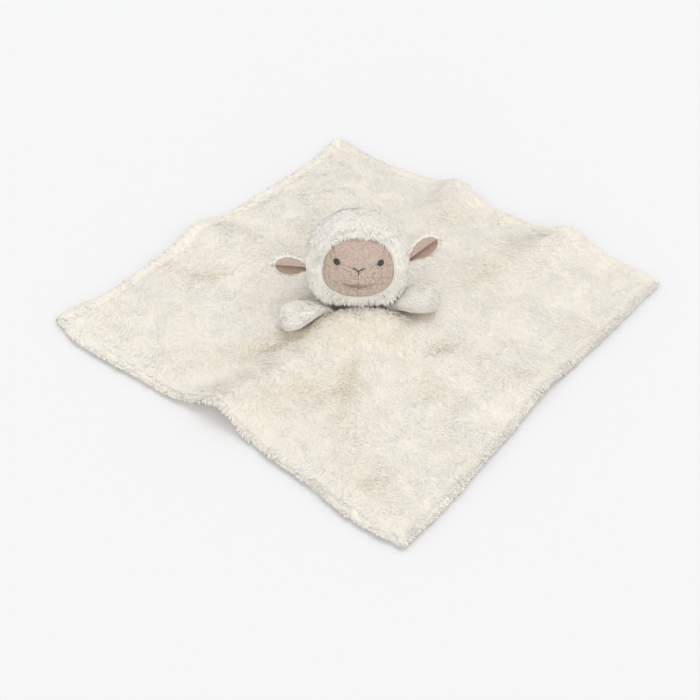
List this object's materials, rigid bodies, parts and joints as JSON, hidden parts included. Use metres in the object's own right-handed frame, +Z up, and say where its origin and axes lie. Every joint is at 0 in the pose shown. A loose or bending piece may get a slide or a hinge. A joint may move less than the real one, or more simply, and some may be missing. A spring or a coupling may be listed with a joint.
{
  "type": "comfort blanket with lamb head",
  "caption": "Square plush comfort blanket with a stuffed lamb's head, two ears and two short arms sewn to its middle, laid out flat.",
  "frame": {"origin": "middle of the blanket's box, on the surface that the blanket lies on", "axes": "+Z up, -Y the way the lamb looks, +X to the right of someone who faces the lamb; the blanket's corners point along X and Y"},
  "size_m": [0.5374, 0.5374, 0.0964],
  "materials": {
    "plush": "short cream plush pile with a soft nap",
    "fleece": "whiter, longer tufted pile",
    "velour": "close taupe velour",
    "brow_velour": "close velour, slightly pinker",
    "embroidery": "dark satin-stitched thread with a light sheen",
    "seam_thread": "matching sewing thread",
    "filling": "loose polyester fibre",
    "backing": "plain woven backing"
  },
  "bodies": {
    "blanket": {"blanket_underside_panel": "plush", "blanket_top_panel": "plush", "hem_needle_thread": "seam_thread", "hem_bobbin_thread": "seam_thread"},
    "neck": {"neck_patch": "backing", "neck_seam_thread": "seam_thread"},
    "head": {"head_fleece_left": "fleece", "head_fleece_right": "fleece", "face_cheek_left": "velour", "face_cheek_right": "velour", "face_forehead": "brow_velour", "eye_left": "embroidery", "eye_right": "embroidery", "nose_embroidery": "embroidery", "neck_disc": "backing", "head_filling": "filling"},
    "ear_left": {"ear_left_fleece": "fleece", "ear_left_lining": "velour"},
    "ear_right": {"ear_right_fleece": "fleece", "ear_right_lining": "velour"},
    "arm_left": {"arm_left_upper": "fleece", "arm_left_lower": "fleece", "arm_left_filling": "filling"},
    "arm_right": {"arm_right_upper": "fleece", "arm_right_lower": "fleece", "arm_right_filling": "filling"}
  },
  "joints": [
    {"name": "head_turn", "type": "hinge", "parent": "blanket", "child": "neck", "pos_m": [-0.0055, -0.0013, 0.0094], "axis": [0, 0, 1], "range_deg": [-25, 25], "stiffness_Nm_per_rad": 0.03},
    {"name": "head_nod", "type": "hinge", "parent": "neck", "child": "head", "pos_m": [-0.0055, -0.0013, 0.01255], "axis": [1, 0, 0], "range_deg": [-15, 8], "stiffness_Nm_per_rad": 0.05},
    {"name": "ear_left_flop", "type": "hinge", "parent": "head", "child": "ear_left", "pos_m": [-0.05402, -0.0007, 0.04642], "axis": [0.073, 0.9275, -0.3665], "range_deg": [-8, 35], "stiffness_Nm_per_rad": 0.004},
    {"name": "ear_right_flop", "type": "hinge", "parent": "head", "child": "ear_right", "pos_m": [0.04366, -0.00472, 0.05571], "axis": [-0.073, -0.9275, 0.3665], "range_deg": [-25, 20], "stiffness_Nm_per_rad": 0.004},
    {"name": "arm_left_lift", "type": "hinge", "parent": "blanket", "child": "arm_left", "pos_m": [-0.03139, -0.02011, 0.0094], "axis": [-0.5878, 0.809, 0], "range_deg": [0, 11]},
    {"name": "arm_right_lift", "type": "hinge", "parent": "blanket", "child": "arm_right", "pos_m": [0.01569, -0.01257, 0.0094], "axis": [-0.4695, -0.8829, 0], "range_deg": [0, 11]}
  ]
}
